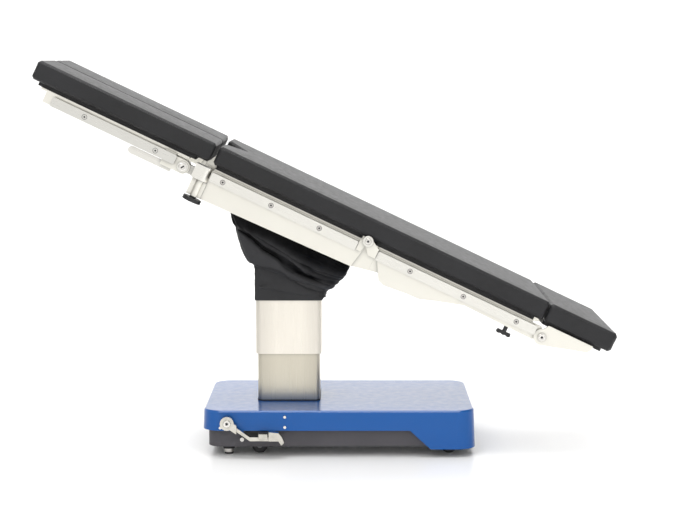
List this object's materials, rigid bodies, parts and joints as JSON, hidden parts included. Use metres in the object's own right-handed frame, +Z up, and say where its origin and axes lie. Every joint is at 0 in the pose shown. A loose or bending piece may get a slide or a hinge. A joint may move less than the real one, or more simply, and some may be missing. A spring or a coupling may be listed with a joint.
{
  "type": "operating table",
  "caption": "Operating table on a castored base with foot brake: telescopic column with bellows, tilting sectioned top with split leg plates, seat, back and head pads.",
  "frame": {"origin": "on the floor, below the middle of the table's length and width", "axes": "+X along the table towards the head end, +Y from the pedal side to the far side, +Z up"},
  "size_m": [1.8318, 0.576, 1.2571],
  "materials": {
    "blue_cover": "glossy moulded cover",
    "grey_skirt": "satin",
    "painted_steel": "satin paint",
    "stainless": "brushed",
    "chromed_steel": "polished",
    "bronze": "machined",
    "black_rubber": "matte",
    "tyre": "matte",
    "black_plastic": "moulded",
    "black_board": "laminate",
    "pad_cover": "welded coated fabric over foam",
    "bellows_cloth": "coated cloth"
  },
  "bodies": {
    "root": {"base_frame": "painted_steel", "base_cover": "blue_cover", "base_skirt": "grey_skirt", "cover_screws": "chromed_steel", "pedal_stop": "black_rubber", "column_lower_cover": "stainless", "column_gasket": "black_rubber", "lift_cylinder": "painted_steel", "shaft_bushes": "bronze"},
    "pedal": {"brake_pedal": "chromed_steel", "brake_shaft": "chromed_steel"},
    "column": {"column_upper_cover": "stainless", "column_head": "painted_steel", "lift_rod": "chromed_steel", "bellows": "bellows_cloth"},
    "cross": {"tilt_cross": "painted_steel"},
    "seat": {"seat_frame": "stainless", "seat_panels": "stainless", "seat_rails": "stainless", "seat_rail_screws": "stainless", "seat_board": "black_board", "seat_pad": "pad_cover", "pad_flex": "pad_cover"},
    "back": {"back_frame": "stainless", "back_rails": "stainless", "back_rail_screws": "stainless", "back_board": "black_board", "back_pad": "pad_cover", "back_hinge_pins": "stainless"},
    "head": {"head_frame": "stainless", "head_board": "black_board", "head_pad": "pad_cover", "head_pad_edge": "pad_cover", "head_hinge_pins": "stainless"},
    "brake_foot_near": {"brake_foot_near": "chromed_steel"},
    "leg_block_near": {"leg_block_near": "stainless"},
    "leg_near": {"leg_frame_near": "stainless", "leg_rail_near": "stainless", "leg_board_near": "black_board", "leg_pad_near": "pad_cover"},
    "leg_knob_near": {"leg_knob_near": "black_plastic"},
    "release_lever_near": {"release_lever_near": "stainless"},
    "head_knob_near": {"head_knob_near": "black_plastic"},
    "brake_foot_far": {"brake_foot_far": "chromed_steel"},
    "leg_block_far": {"leg_block_far": "stainless"},
    "leg_far": {"leg_frame_far": "stainless", "leg_rail_far": "stainless", "leg_board_far": "black_board", "leg_pad_far": "pad_cover"},
    "leg_knob_far": {"leg_knob_far": "black_plastic"},
    "release_lever_far": {"release_lever_far": "stainless"},
    "head_knob_far": {"head_knob_far": "black_plastic"},
    "castor_foot_near": {"castor_fork_foot_near": "painted_steel"},
    "wheel_foot_near": {"castor_wheel_foot_near": "tyre"},
    "castor_foot_far": {"castor_fork_foot_far": "painted_steel"},
    "wheel_foot_far": {"castor_wheel_foot_far": "tyre"},
    "castor_head_near": {"castor_fork_head_near": "painted_steel"},
    "wheel_head_near": {"castor_wheel_head_near": "tyre"},
    "castor_head_far": {"castor_fork_head_far": "painted_steel"},
    "wheel_head_far": {"castor_wheel_head_far": "tyre"}
  },
  "joints": [
    {"name": "column_lift", "type": "slide", "parent": "root", "child": "column", "axis": [0, 0, 1], "range_m": [-0.12, 0.15]},
    {"name": "table_tilt", "type": "hinge", "parent": "column", "child": "cross", "pos_m": [-0.129, 0, 0.7], "axis": [0, 1, 0], "range_deg": [-51, 0], "deforming": ["bellows"]},
    {"name": "table_roll", "type": "hinge", "parent": "cross", "child": "seat", "pos_m": [-0.129, 0, 0.7], "axis": [0.9026, 0, -0.4305], "range_deg": [-15, 15]},
    {"name": "back_hinge", "type": "hinge", "parent": "seat", "child": "back", "pos_m": [0.12672, 0, 0.69491], "axis": [0, -1, 0], "range_deg": [-20, 75], "deforming": ["pad_flex"]},
    {"name": "head_hinge", "type": "hinge", "parent": "back", "child": "head", "pos_m": [0.67362, 0, 0.38974], "axis": [0, -1, 0], "range_deg": [-90, 30], "deforming": ["head_pad_edge"]},
    {"name": "brake_pedal", "type": "hinge", "parent": "root", "child": "pedal", "pos_m": [-0.319, -0.24, 0.115], "axis": [0, -1, 0], "range_deg": [0, 25]},
    {"name": "brake_foot_slide_near", "type": "slide", "parent": "root", "child": "brake_foot_near", "axis": [0, 0, 1], "range_m": [0, 0.005]},
    {"name": "leg_swivel_near", "type": "hinge", "parent": "seat", "child": "leg_block_near", "pos_m": [-0.38532, -0.2575, 0.90591], "axis": [0.4305, 0, 0.9026], "range_deg": [0, 90]},
    {"name": "leg_drop_near", "type": "hinge", "parent": "leg_block_near", "child": "leg_near", "pos_m": [-0.44967, -0.244, 0.92663], "axis": [0, -1, 0], "range_deg": [-5, 90]},
    {"name": "leg_knob_turn_near", "type": "hinge", "parent": "seat", "child": "leg_knob_near", "pos_m": [-0.42407, -0.2575, 0.82468], "axis": [0.4305, 0, 0.9026], "range_deg": [0, 180]},
    {"name": "release_lever_pull_near", "type": "hinge", "parent": "leg_near", "child": "release_lever_near", "pos_m": [-0.49886, -0.244, 0.92571], "axis": [0, 1, 0], "range_deg": [-12, 0], "stiffness_Nm_per_rad": 2, "springref_deg": 17.19},
    {"name": "head_knob_turn_near", "type": "hinge", "parent": "back", "child": "head_knob_near", "pos_m": [0.56051, -0.238, 0.41045], "axis": [0.4305, 0, 0.9026], "range_deg": [0, 180]},
    {"name": "brake_foot_slide_far", "type": "slide", "parent": "root", "child": "brake_foot_far", "axis": [0, 0, 1], "range_m": [0, 0.005]},
    {"name": "leg_swivel_far", "type": "hinge", "parent": "seat", "child": "leg_block_far", "pos_m": [-0.38532, 0.2575, 0.90591], "axis": [-0.4305, 0, -0.9026], "range_deg": [0, 90]},
    {"name": "leg_drop_far", "type": "hinge", "parent": "leg_block_far", "child": "leg_far", "pos_m": [-0.44967, 0.244, 0.92663], "axis": [0, -1, 0], "range_deg": [-5, 90]},
    {"name": "leg_knob_turn_far", "type": "hinge", "parent": "seat", "child": "leg_knob_far", "pos_m": [-0.42407, 0.2575, 0.82468], "axis": [0.4305, 0, 0.9026], "range_deg": [0, 180]},
    {"name": "release_lever_pull_far", "type": "hinge", "parent": "leg_far", "child": "release_lever_far", "pos_m": [-0.49886, 0.244, 0.92571], "axis": [0, 1, 0], "range_deg": [-12, 0], "stiffness_Nm_per_rad": 2, "springref_deg": 17.19},
    {"name": "head_knob_turn_far", "type": "hinge", "parent": "back", "child": "head_knob_far", "pos_m": [0.56051, 0.238, 0.41045], "axis": [0.4305, 0, 0.9026], "range_deg": [0, 180]},
    {"name": "castor_swivel_foot_near", "type": "hinge", "parent": "root", "child": "castor_foot_near", "pos_m": [-0.235, -0.185, 0.07], "axis": [0, 0, 1], "continuous": true},
    {"name": "wheel_spin_foot_near", "type": "hinge", "parent": "castor_foot_near", "child": "wheel_foot_near", "pos_m": [-0.22, -0.185, 0.025], "axis": [0, 1, 0], "continuous": true},
    {"name": "castor_swivel_foot_far", "type": "hinge", "parent": "root", "child": "castor_foot_far", "pos_m": [-0.235, 0.185, 0.07], "axis": [0, 0, 1], "continuous": true},
    {"name": "wheel_spin_foot_far", "type": "hinge", "parent": "castor_foot_far", "child": "wheel_foot_far", "pos_m": [-0.22, 0.185, 0.025], "axis": [0, 1, 0], "continuous": true},
    {"name": "castor_swivel_head_near", "type": "hinge", "parent": "root", "child": "castor_head_near", "pos_m": [0.374, -0.185, 0.07], "axis": [0, 0, 1], "continuous": true},
    {"name": "wheel_spin_head_near", "type": "hinge", "parent": "castor_head_near", "child": "wheel_head_near", "pos_m": [0.389, -0.185, 0.025], "axis": [0, 1, 0], "continuous": true},
    {"name": "castor_swivel_head_far", "type": "hinge", "parent": "root", "child": "castor_head_far", "pos_m": [0.374, 0.185, 0.07], "axis": [0, 0, 1], "continuous": true},
    {"name": "wheel_spin_head_far", "type": "hinge", "parent": "castor_head_far", "child": "wheel_head_far", "pos_m": [0.389, 0.185, 0.025], "axis": [0, 1, 0], "continuous": true}
  ],
  "couplings": [
    {"joint": "brake_foot_slide_near", "follows": "brake_pedal", "m_per_rad": 0.0114},
    {"joint": "brake_foot_slide_far", "follows": "brake_pedal", "m_per_rad": 0.0114}
  ]
}
